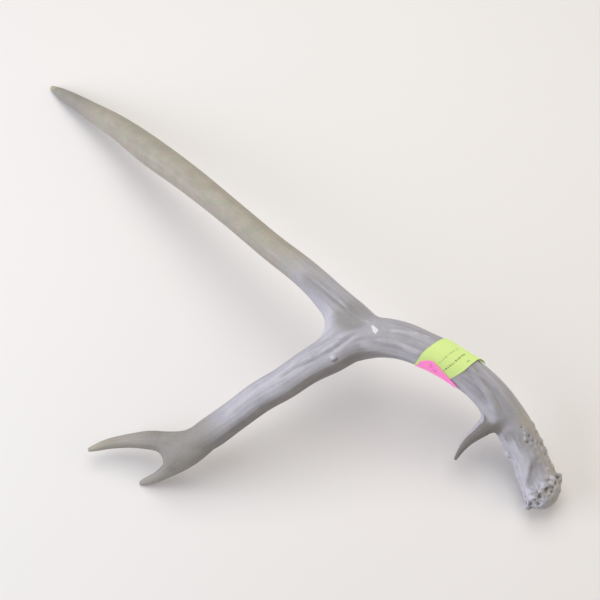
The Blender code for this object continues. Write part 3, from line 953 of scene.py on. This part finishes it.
class AntlerSizes(bpy.types.PropertyGroup):
    """The sizes of the antler's skin."""

    skin_step: bpy.props.FloatProperty(
        name="Skin step",
        description="Size of the cells that the branches are grown together from",
        unit="LENGTH", default=0.65 * MM, min=0.5 * MM, max=4 * MM, precision=5,
    )
    triangles: bpy.props.IntProperty(
        name="Triangles",
        description="Triangles that the finished skin keeps",
        default=180000, min=5000, max=198000,
    )


def add_node(tree, kind, inputs, output=0, **settings):
    """Adds one shader node with its settings, values and links, and gives one of its outputs."""
    node = tree.nodes.new("ShaderNode" + kind)
    for name, value in settings.items():
        setattr(node, name, value)
    for name, value in inputs.items():
        if isinstance(value, bpy.types.NodeSocket):
            tree.links.new(value, node.inputs[name])
        else:
            node.inputs[name].default_value = value
    return node.outputs[output]


def new_material(name):
    """A new material, its nodes and its shader."""
    material = bpy.data.materials.new(name)
    material.use_nodes = True
    return material, material.node_tree, material.node_tree.nodes["Principled BSDF"]


def painted_bone(colours):
    """Matte sprayed paint over a shed antler.

    The paint is a matt lavender grey, warmer and browner where it lies thin. Dirt darkens the pits, the
    ridges are rubbed a little paler, faint streaks follow the bone's own grain, and bare bone shows at the
    long tine's tip. Light and shade are painted in too: the under sides and the brow tine's lower side are
    painted browner and darker as shade, the low beam's side that looks right warmer as shade, the web and
    the end fork greyer as shade, and the side that looks up and left paler as light, with painted
    highlights on some nodules.
    """
    material, tree, shader = new_material("matte_sprayed_paint_on_bone")
    place = add_node(tree, "TexCoord", {}, "Object")
    grain = add_node(tree, "Attribute", {}, "Vector", attribute_name="grain")
    patterns = {}
    for name, where, size, detail, roughness in (
        # the size of a pattern's marks is in millimetres
        ("streaks", grain, 2.2, 4.0, 0.6),
        ("wide streaks", grain, 7.0, 3.0, 0.5),
        ("blotches", place, 11.0, 3.0, 0.55),
        ("specks", place, 1.6, 3.0, 0.7),
        ("peel", place, 0.8, 2.0, 0.5),
        ("clouds", place, 9.0, 1.0, 0.4),
    ):
        patterns[name] = add_node(
            tree, "TexNoise",
            {"Vector": where, "Scale": 1 / (size * MM), "Detail": detail, "Roughness": roughness},
        )
    # where the paint is thin, pale, dirty or gone, and where shade and light are painted: what the skin
    # carries, made uneven by a pattern
    masks = {}
    for name, pattern, amount in (
        ("warm", "blotches", 0.9),
        ("under", "wide streaks", 0.5),
        ("dull", "blotches", 0.5),
        ("pale", "streaks", 0.6),
        ("hollow", "specks", 0.12),
        ("worn", "specks", 0.5),
        ("chip", "specks", 0.5),
    ):
        carried = add_node(tree, "Attribute", {}, "Fac", attribute_name=name)
        masks[name] = add_node(
            tree, "Math", {0: patterns[pattern], 1: amount, 2: carried},
            operation="MULTIPLY_ADD",
        )
    clear_grain = add_node(tree, "Attribute", {}, "Fac", attribute_name="along")

    # thin paint has greener and pinker clouds
    share = add_node(tree, "MapRange", {"Value": patterns["clouds"], "From Min": 0.4, "From Max": 0.6})
    thin_paint_and_shade = add_node(
        tree, "Mix", {0: share, 6: colours.thin_paint_and_shade, 7: colours.green_thin_paint}, 2,
        data_type="RGBA",
    )
    colour = colours.paint
    for mask, start, full, strength, tint in (
        # mask, where it starts, where it is full, its strength and its colour
        # warm thin paint, and painted warm shade on the low beam's side that looks right
        ("warm", 0.55, 1.4, 1.0, thin_paint_and_shade),
        # greyed paint, and painted shade in the web, on the end fork and on the brow tine's lower side
        ("dull", 0.3, 1.2, 0.75, colours.dull_paint_and_shade),
        # painted shade: the under sides browner and darker
        ("under", 0.4, 1.2, 0.68, colours.under_shade_brown),
        # paler paint, and painted light and highlights
        ("pale", 0.35, 1.2, 0.7, colours.pale_paint_and_light),
        ("hollow", 0.02, -0.5, 0.45, colours.pale_paint_and_light),
        ("hollow", 0.18, 0.95, 0.7, colours.dirt),
        ("worn", 0.68, 0.8, 0.9, colours.bare_bone),
        ("chip", 0.12, 0.3, 1.0, colours.undercoat),
    ):
        share = add_node(
            tree, "MapRange",
            {"Value": masks[mask], "From Min": start, "From Max": full, "To Max": strength},
            interpolation_type="SMOOTHSTEP",
        )
        colour = add_node(tree, "Mix", {0: share, 6: colour, 7: tint}, 2, data_type="RGBA")
    # uneven cover: darker and paler clouds, then the grain of the bone, then fine specks
    for pattern, strength, low, high in (
        ("blotches", 0.5, 0.36, 0.64),
        ("streaks", clear_grain, 0.38, 0.62),
        ("specks", 0.6, 0.42, 0.58),
    ):
        tone = add_node(
            tree, "MapRange",
            {"Value": patterns[pattern], "From Min": 0.3, "From Max": 0.7, "To Min": low, "To Max": high},
        )
        colour = add_node(
            tree, "Mix", {0: strength, 6: colour, 7: tone}, 2,
            data_type="RGBA", blend_type="SOFT_LIGHT",
        )
    tree.links.new(colour, shader.inputs["Base Color"])

    # rubbed places shine a little, the rest is chalky
    rough = add_node(
        tree, "MapRange",
        {"Value": patterns["blotches"], "From Min": 0.3, "From Max": 0.7, "To Min": 0.52, "To Max": 0.7},
    )
    tree.links.new(rough, shader.inputs["Roughness"])
    # the grain and the orange peel of the paint, too fine for the mesh
    height = add_node(tree, "Math", {0: patterns["streaks"], 1: clear_grain}, operation="MULTIPLY")
    height = add_node(tree, "Math", {0: height, 1: 0.14 * MM}, operation="MULTIPLY")
    height = add_node(
        tree, "Math", {0: patterns["peel"], 1: 0.05 * MM, 2: height},
        operation="MULTIPLY_ADD",
    )
    normal = add_node(tree, "Bump", {"Height": height, "Strength": 1.0, "Distance": 1.0})
    tree.links.new(normal, shader.inputs["Normal"])
    return material


def label_paper(name, colour, ink, painted_glow, rows):
    """Bright fluorescent paper: flat and matte, with fibres and worn print.

    The print is only rows of short faded bars. The paper also glows faintly in its own colour, a painted
    light that makes it brighter than the lamps alone make it.
    """
    material, tree, shader = new_material(name)
    sheet = add_node(tree, "UVMap", {}, "UV", uv_map="sheet")
    place = add_node(tree, "TexCoord", {}, "Object")
    fibres = add_node(tree, "TexNoise", {"Vector": place, "Scale": 1 / (FIBRE_SIZE * MM), "Detail": 4.0})
    tone = add_node(tree, "MapRange", {"Value": fibres, "To Min": 0.4, "To Max": 0.6})
    shade = add_node(
        tree, "Mix", {0: 1.0, 6: tuple(colour), 7: tone}, 2,
        data_type="RGBA", blend_type="SOFT_LIGHT",
    )
    # the sheet's own map is in millimetres: x along the rows of print, y across them
    across = add_node(tree, "SeparateXYZ", {0: sheet}, "X")
    down = add_node(tree, "SeparateXYZ", {0: sheet}, "Y")
    bar = add_node(tree, "Math", {0: across, 1: BAR_PITCH}, operation="PINGPONG")
    wear = add_node(
        tree, "TexNoise", {"Vector": sheet, "Scale": WEAR_SCALE, "Detail": 2.0},
        noise_dimensions="2D",
    )
    faded = add_node(
        tree, "MapRange",
        {"Value": wear, "From Min": 0.4, "From Max": 0.56, "To Min": 0.25, "To Max": 1.0},
    )
    for line, start, end, strength in rows:
        share = strength
        for value, middle, half in (
            (down, line, BAR_HEIGHT / 2),
            (across, (start + end) / 2, (end - start) / 2),
            (bar, BAR_PITCH, BAR_WIDTH / 2),
        ):
            apart = add_node(tree, "Math", {0: value, 1: middle}, operation="SUBTRACT")
            apart = add_node(tree, "Math", {0: apart}, operation="ABSOLUTE")
            inside = add_node(
                tree, "MapRange",
                {"Value": apart, "From Min": half + BAR_BLUR, "From Max": half - BAR_BLUR},
            )
            share = add_node(tree, "Math", {0: inside, 1: share}, operation="MULTIPLY")
        share = add_node(tree, "Math", {0: faded, 1: share}, operation="MULTIPLY")
        shade = add_node(tree, "Mix", {0: share, 6: shade, 7: tuple(ink)}, 2, data_type="RGBA")
    tree.links.new(shade, shader.inputs["Base Color"])
    # painted light: the paper glows in its own colour
    tree.links.new(shade, shader.inputs["Emission Color"])
    shader.inputs["Emission Strength"].default_value = painted_glow
    shader.inputs["Roughness"].default_value = 0.62
    height = add_node(tree, "Math", {0: fibres, 1: FIBRE_HEIGHT * MM}, operation="MULTIPLY")
    normal = add_node(tree, "Bump", {"Height": height, "Strength": 1.0, "Distance": 1.0})
    tree.links.new(normal, shader.inputs["Normal"])
    return material


def edge_point(edge, share):
    """A point on the smooth line through an edge's corners."""
    corners = [Vector(corner) for corner in edge]
    corners = [2 * corners[0] - corners[1], *corners, 2 * corners[-1] - corners[-2]]
    place = share * (len(corners) - 3)
    index = min(int(place), len(corners) - 4)
    return catmull_rom(*corners[index:index + 4], place - index)


def laid_points(tint, antler):
    """The sheet's points, row by row, and at its middle the way out of the bone.

    The sheet wraps over the beam, bridges its furrows and stands off at its loose edge.
    """
    places = places_along(BEAM)
    first, second = STICKERS[tint]
    size = (SHEET_ROWS, SHEET_COLUMNS)
    feet = np.empty(size, dtype=object)
    ways = np.empty(size, dtype=object)
    reach = np.empty(size)
    lift = np.empty(size)
    for row, column in np.ndindex(size):
        share, across = row / (SHEET_ROWS - 1), column / (SHEET_COLUMNS - 1)
        start, end = edge_point(first, share), edge_point(second, share)
        distance, degrees, _height = start.lerp(end, across)
        place = place_at(places, distance * MM)
        way = out_of(place, degrees)
        hit, point, _normal, _face = antler.ray_cast(place.point + way * (LAID_FROM * MM), -way)
        if not hit:
            raise RuntimeError("the sheet finds no bone under it")
        feet[row, column], ways[row, column] = place.point, way
        reach[row, column] = (point - place.point).length / MM
        lift[row, column] = start.z * (1 - across) ** 3 + end.z * across ** 3
    taut = reach.copy()
    for _step in range(TAUT_STEPS):
        padded = np.pad(taut, 1, mode="edge")
        mean = (padded[:-2, 1:-1] + padded[2:, 1:-1] + padded[1:-1, :-2] + padded[1:-1, 2:]) / 4
        taut = np.maximum(reach, mean)
    taut += SHEET_GAP[tint] + lift
    points = [feet[spot] + ways[spot] * taut[spot] * MM for spot in np.ndindex(size)]
    return points, ways[SHEET_ROWS // 2, SHEET_COLUMNS // 2]


def sheet_of_paper(tint, antler):
    """A thin sheet with its own map, in millimetres along its rows of points and across them."""
    points, outwards = laid_points(tint, antler)
    faces = [
        (start, start + 1, start + SHEET_COLUMNS + 1, start + SHEET_COLUMNS)
        for row in range(SHEET_ROWS - 1)
        for start in range(row * SHEET_COLUMNS, (row + 1) * SHEET_COLUMNS - 1)
    ]
    mesh = bpy.data.meshes.new(f"{tint}_label")
    mesh.from_pydata(points, [], faces)
    grid = np.array([tuple(point) for point in points]).reshape(SHEET_ROWS, SHEET_COLUMNS, 3) / MM
    along, aside = (
        np.cumsum([0, *np.linalg.norm(np.diff(grid, axis=axis), axis=2).mean(1 - axis)])
        for axis in (0, 1)
    )
    layer = mesh.uv_layers.new(name="sheet")
    for loop in mesh.loops:
        row, column = divmod(loop.vertex_index, SHEET_COLUMNS)
        layer.data[loop.index].uv = (along[row], aside[column])
    sheet = new_object(f"{tint}_label", mesh)
    edit_all(sheet, bpy.ops.mesh.normals_make_consistent, inside=False)
    if sheet.data.polygons[len(faces) // 2].normal.dot(outwards) < 0:
        sheet.data.flip_normals()
    apply_modifier(sheet, "SOLIDIFY", thickness=PAPER_THICKNESS * MM, offset=1.0)
    bpy.ops.object.shade_smooth_by_angle(angle=math.radians(SHARP_ANGLE))
    return sheet


def hollows(skin, rounds):
    """How far each point lies under the smoothed skin, in millimetres, without the round of the bone."""
    smooth = skin.softened(skin.points, rounds)
    depth = ((smooth - skin.points) * skin.normals).sum(1) / MM
    return depth - skin.softened(depth, rounds * BONE_ROUNDS)


def inside_chip(skin):
    """How far each point lies inside the chip's three edges, in millimetres; below zero is outside."""
    corners = [placed(corner) for corner in CHIP]
    centre = sum(corners, Vector()) / 3
    inside = (skin.points[:, 2] / MM - CHIP_BASE) / CHIP_RISE
    for start, end in zip(corners, corners[1:] + corners[:1]):
        inward = (end - start).cross(Vector((0, 0, 1))).normalized()
        if inward.dot(centre - start) < 0:
            inward = -inward
        inside = np.minimum(inside, (skin.points - np.array(start)) @ np.array(inward) / MM)
    return inside


def keep(skin, name, values):
    """Writes values, or vectors, as an attribute of the skin's points."""
    kind, field = ("FLOAT", "value") if values.ndim == 1 else ("FLOAT_VECTOR", "vector")
    skin.mesh.attributes.new(name, kind, "POINT").data.foreach_set(field, values.ravel())


def grain_places(skin):
    """Places that follow the branches, drawn out along them, and how clearly one branch rules there.

    The last values are millimetres along the long tine, and nought on the other branches.
    """
    best = np.full(skin.count, np.inf)
    second = np.full(skin.count, np.inf)
    grain = np.zeros((skin.count, 3))
    along_tine = np.zeros(skin.count)
    for number, line in enumerate(GRAIN_LINES):
        place, out = nearest_places(skin, line)
        gap = np.linalg.norm(out, axis=1)
        ratio = gap / place.radius
        closer = ratio < best
        second = np.where(closer, best, np.minimum(second, ratio))
        best = np.where(closer, ratio, best)
        unit = out / gap[:, None]
        own_place = np.stack([
            (unit * place.up).sum(1) * GRAIN_ROUND * MM,
            (unit * place.side).sum(1) * GRAIN_ROUND * MM,
            place.distance / GRAIN_STRETCH + number,
        ], 1)
        grain[closer] = own_place[closer]
        along_tine[closer] = place.distance[closer] / MM if line is LONG_TINE else 0.0
    return grain, rise(second / best, *GRAIN_CLEAR), along_tine


def painted_shade_below(skin, x):
    """How brown and dark the painted shade on the under sides makes each point, and how dark the painted
    shade on the brow tine's lower side makes it.
    """
    # painted shade: the sides that look down and away from the light are browner
    under = skin.facing(SHADED_UNDERSIDE)
    for start, full, least in (UNDER_SHADE_RIGHT, UNDER_SHADE_LEFT):
        under = under * (least + (1 - least) * rise(x, start, full))
    gap, _share = skin.distance_to_line([row[:3] for row in BROW_TINE])
    brow_shade = skin.facing(SHADED_BROW_SIDE) * rise(gap, *BROW_REACH)
    return np.maximum(under, brow_shade), brow_shade


def dull_paint_and_shade(skin, brow_shade):
    """How greyed each point is: the painted shade on the brow tine's lower side, and the greyed paint and
    painted shade of the patches and the strokes.
    """
    dull = brow_shade
    for centre, reach, strength in DULL_AND_SHADE_PATCHES:
        dull = np.maximum(dull, strength * ease(DULL_EDGE - skin.distance_to(centre) / reach))
    for corners, width, strength in DULL_AND_SHADE_STROKES:
        gap, share = skin.distance_to_line(corners)
        spread = np.exp(-((gap / width) ** 2))
        dull = np.maximum(dull, strength * ease(share / DULL_START) * spread)
    return dull


def mark_paint(skin):
    """Works out where the paint is thin, paler, dirty or rubbed off, and where shade and light are painted,
    for the material.
    """
    fine, wide = (hollows(skin, rounds) for rounds in HOLLOW_ROUNDS)
    keep(skin, "hollow", fine + WIDE_HOLLOWS * wide)
    grain, clear, along_tine = grain_places(skin)
    keep(skin, "grain", grain)
    x, y, _z = (skin.points / MM + np.array(MIDDLE)).T
    front = y < FRONT_SIDE
    even = np.maximum(rise(along_tine, *EVEN_TINE), EVEN_END_SHARE * rise(x, *EVEN_END) * front)
    keep(skin, "along", clear * (1 - HIDDEN_GRAIN * even))
    # painted shade: the low beam's side that looks right is warmer
    low_warm_shade = rise(skin.distance_to(BURR_CENTRE), *WARM_BURR) * skin.facing(WARM_SHADE_SIDE)
    warm = np.maximum(rise(along_tine, *WARM_TINE), rise(x, *WARM_END) * front)
    warm = np.maximum(warm, WARM_BURR_SHARE * low_warm_shade)
    keep(skin, "warm", warm)
    # painted shade on the under sides and on the brow tine's lower side
    under, brow_shade = painted_shade_below(skin, x)
    keep(skin, "under", under)
    dull = dull_paint_and_shade(skin, brow_shade)
    keep(skin, "dull", dull)
    cover = (1 - PALE_LOST_WARM * warm) * (1 - PALE_LOST_EVEN * even) * (1 - under) * (1 - dull)
    # painted light: the side that looks up and left is paler
    pale = LIT_SIDE_SHARE * cover * skin.facing(LIT_SIDE)
    for corners, width, strength in PALE_AND_LIT_STROKES:
        gap, _share = skin.distance_to_line(corners)
        pale = np.maximum(pale, strength * np.exp(-((gap / width) ** 2)))
    keep(skin, "pale", pale)
    keep(skin, "chip", np.clip(inside_chip(skin), -2, 2))
    centre, reach = WORN_TIP
    keep(skin, "worn", np.clip(WORN_EDGE - skin.distance_to(centre) / reach, 0, 1))


class OBJECT_OT_antler_bone(bpy.types.Operator):
    """Models the whole antler as one skin in place of the sawn solids"""

    bl_idname = "object.antler_bone"
    bl_label = "Antler"
    bl_options = {"REGISTER", "UNDO"}

    def execute(self, context):
        sizes = context.scene.antler_sizes
        deselect()
        parts = [branch_tube(name, stations) for name, stations in BRANCHES.items()]
        parts += [seal_lump(), *coronet_lumps()]
        parts += [lump(placed(centre), [radius * MM] * 3) for centre, radius in LONE_KNOBS]
        select_only(parts)
        bpy.ops.object.join()
        antler = context.object
        antler.name = "antler"
        bpy.ops.object.transform_apply(location=True, rotation=True, scale=True)
        apply_modifier(antler, "REMESH", mode="VOXEL", voxel_size=sizes.skin_step, adaptivity=0.0)
        ease_forks(antler)
        skin = Skin(antler.data)
        carve_furrows(skin)
        sink_web(skin)
        draw_strokes(skin, FORK_STROKES)
        draw_strokes(skin, BEAM_STROKES)
        grow_pearls(skin)
        press_marks(skin, BUMPS)
        crust_coronet(skin)
        roughen_beam(skin)
        press_marks(skin, CORONET_MARKS)
        mark_paint(skin)
        count = sum(len(face.vertices) - 2 for face in antler.data.polygons)
        if count > sizes.triangles:
            apply_modifier(antler, "DECIMATE", ratio=sizes.triangles / count)
        rest_flat(antler)
        bpy.ops.object.shade_smooth()
        antler.data.materials.clear()
        antler.data.materials.append(painted_bone(context.scene.antler_colours))
        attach(antler, "root")
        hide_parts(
            "beam", "brow_tine", "long_tine", "front_branch", "upper_prong", "lower_prong"
        )
        return {"FINISHED"}


class OBJECT_OT_antler_stickers(bpy.types.Operator):
    """Lays the two paper stickers over the beam"""

    bl_idname = "object.antler_stickers"
    bl_label = "Stickers"
    bl_options = {"REGISTER", "UNDO"}

    def execute(self, context):
        colours = context.scene.antler_colours
        antler = bpy.data.objects["antler"]
        for tint in STICKERS:
            sheet = sheet_of_paper(tint, antler)
            sheet.data.materials.append(label_paper(
                f"fluorescent_{tint}_label_paper", getattr(colours, f"{tint}_paper"),
                getattr(colours, f"{tint}_ink"), PAINTED_GLOW[tint], PRINT_ROWS[tint],
            ))
            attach(sheet, "root")
            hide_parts(f"{tint}_sticker")
        return {"FINISHED"}


def add_light(name, place, size, power, colour):
    """A soft square light that looks at the middle of the antler."""
    bpy.ops.object.light_add(type="AREA", location=place)
    light = bpy.context.object
    light.name = name
    light.data.shape = "SQUARE"
    light.data.size = size
    light.data.energy = power
    light.data.color = srgb(colour)[:3]
    light.rotation_euler = (LIGHT_TARGET - Vector(place)).to_track_quat("-Z", "Y").to_euler()


class OBJECT_OT_antler_stage(bpy.types.Operator):
    """Sets the pale floor, the soft lights and the camera"""

    bl_idname = "object.antler_stage"
    bl_label = "Stage"
    bl_options = {"REGISTER", "UNDO"}

    def execute(self, context):
        colours = context.scene.antler_colours
        deselect()
        bpy.ops.mesh.primitive_plane_add(size=FLOOR_SIZE, location=(0, 0, 0))
        floor = context.object
        floor.name = "floor"
        material, _tree, shader = new_material("pale_floor")
        shader.inputs["Base Color"].default_value = tuple(colours.floor)
        shader.inputs["Roughness"].default_value = 0.7
        floor.data.materials.append(material)

        world = bpy.data.worlds.new("studio")
        world.use_nodes = True
        background = world.node_tree.nodes["Background"]
        background.inputs["Color"].default_value = srgb(SKY_COLOUR)
        background.inputs["Strength"].default_value = SKY_STRENGTH
        context.scene.world = world
        for name, light in LIGHTS.items():
            add_light(name, *light)

        bpy.ops.object.camera_add(location=placed(CAMERA_PLACE))
        camera = context.object
        camera.name = "camera"
        direction = placed(CAMERA_TARGET) - placed(CAMERA_PLACE)
        camera.rotation_euler = direction.to_track_quat("-Z", "Y").to_euler()
        camera.data.lens = CAMERA_LENS
        camera.data.sensor_width = CAMERA_SENSOR
        context.scene.camera = camera
        context.scene.view_settings.view_transform = "Standard"
        return {"FINISHED"}


class VIEW3D_PT_antler(bpy.types.Panel):
    """The antler's pieces, sizes and colours"""

    bl_idname = "VIEW3D_PT_antler"
    bl_label = "Shed antler"
    bl_space_type = "VIEW_3D"
    bl_region_type = "UI"
    bl_category = "Antler"

    def draw(self, context):
        layout = self.layout
        for group in (context.scene.antler_sizes, context.scene.antler_colours):
            for name in group.__annotations__:
                layout.prop(group, name)
        for operator in OPERATORS:
            layout.operator(operator.bl_idname)


OPERATORS = [OBJECT_OT_antler_bone, OBJECT_OT_antler_stickers, OBJECT_OT_antler_stage]
CLASSES = [AntlerColours, AntlerSizes, *OPERATORS, VIEW3D_PT_antler]


def register():
    for kind in CLASSES:
        bpy.utils.register_class(kind)
    bpy.types.Scene.antler_colours = bpy.props.PointerProperty(type=AntlerColours)
    bpy.types.Scene.antler_sizes = bpy.props.PointerProperty(type=AntlerSizes)


def unregister():
    del bpy.types.Scene.antler_sizes
    del bpy.types.Scene.antler_colours
    for kind in reversed(CLASSES):
        bpy.utils.unregister_class(kind)


def main():
    register()
    bpy.ops.object.antler_bone()
    bpy.ops.object.antler_stickers()
    bpy.ops.object.antler_stage()


if __name__ == "__main__":
    main()
